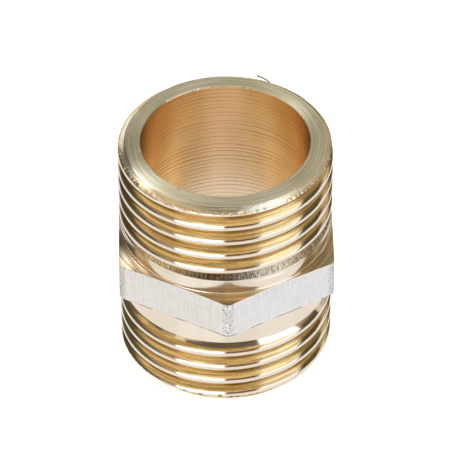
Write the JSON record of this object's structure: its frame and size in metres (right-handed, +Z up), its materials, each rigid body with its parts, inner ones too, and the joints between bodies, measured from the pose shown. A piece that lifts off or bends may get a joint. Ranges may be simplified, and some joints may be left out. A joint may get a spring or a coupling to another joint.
{
  "type": "hex nipple",
  "caption": "Straight hex nipple: a short tube with an outside parallel pipe thread on each end, a hexagonal spanner collar between them and a plain bore through.",
  "frame": {"origin": "centre of the lower end face, on the bore's axis", "axes": "+Z up the bore's axis, from the lower end face to the upper one; a corner of the hexagon points to -Y and two flats face +X and -X"},
  "size_m": [0.021, 0.024, 0.0256],
  "materials": {
    "turned_brass": "bright turned brass with fine tool rings",
    "silver_flats": "silver-white satin skin of the drawn hexagon bar"
  },
  "bodies": {
    "root": {"upper_threaded_end": "turned_brass", "hex_collar": "silver_flats", "lower_threaded_end": "turned_brass"}
  },
  "joints": []
}
